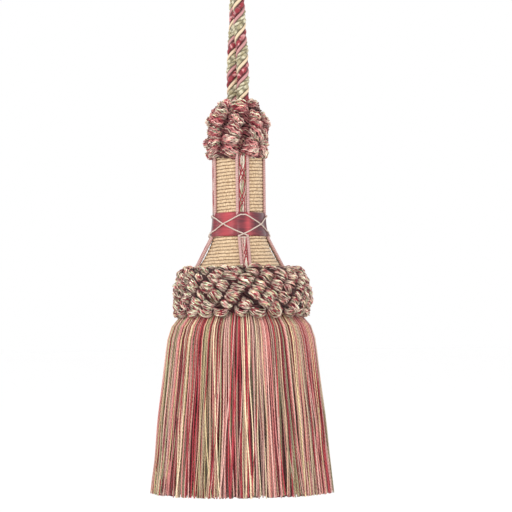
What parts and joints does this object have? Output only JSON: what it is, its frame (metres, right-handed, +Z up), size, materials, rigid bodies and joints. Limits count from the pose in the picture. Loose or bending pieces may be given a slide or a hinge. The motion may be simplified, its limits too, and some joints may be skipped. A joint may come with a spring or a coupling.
{
  "type": "key tassel",
  "caption": "Hanging key tassel: gimp-wrapped head with looped ruffs, laced satin band, laid cord strips and a cut yarn skirt on a twisted cord loop.",
  "frame": {"origin": "the hanging point, at the underside of the cord loop's bight, on the tassel's upright axis", "axes": "+Z up along the tassel's axis, from the skirt to the loop; -Y towards the pictured front; +X to the viewer's right"},
  "size_m": [0.0748, 0.0748, 0.2363],
  "materials": {
    "twisted_cord": "satin",
    "ruff_yarn": "matte",
    "gold_gimp": "satin",
    "red_satin": "gloss",
    "pink_gimp": "satin",
    "twist_yarn": "matte",
    "pale_thread": "matte",
    "skirt_yarn": "satin"
  },
  "bodies": {
    "root": {"hanging_cord": "twisted_cord", "top_ruff": "ruff_yarn", "wrapped_head": "gold_gimp", "waist_band": "red_satin", "lacing_under": "pale_thread", "lacing_over": "pale_thread", "edge_cord_1a_upper": "pink_gimp", "edge_cord_1b_upper": "pink_gimp", "twist_yarn_1_upper": "twist_yarn", "edge_cord_1a_lower": "pink_gimp", "edge_cord_1b_lower": "pink_gimp", "twist_yarn_1_lower": "twist_yarn", "edge_cord_2a_upper": "pink_gimp", "edge_cord_2b_upper": "pink_gimp", "twist_yarn_2_upper": "twist_yarn", "edge_cord_2a_lower": "pink_gimp", "edge_cord_2b_lower": "pink_gimp", "twist_yarn_2_lower": "twist_yarn", "edge_cord_3a_upper": "pink_gimp", "edge_cord_3b_upper": "pink_gimp", "twist_yarn_3_upper": "twist_yarn", "edge_cord_3a_lower": "pink_gimp", "edge_cord_3b_lower": "pink_gimp", "twist_yarn_3_lower": "twist_yarn", "edge_cord_4a_upper": "pink_gimp", "edge_cord_4b_upper": "pink_gimp", "twist_yarn_4_upper": "twist_yarn", "edge_cord_4a_lower": "pink_gimp", "edge_cord_4b_lower": "pink_gimp", "twist_yarn_4_lower": "twist_yarn", "collar_ruff": "ruff_yarn", "skirt": "skirt_yarn"}
  },
  "joints": []
}
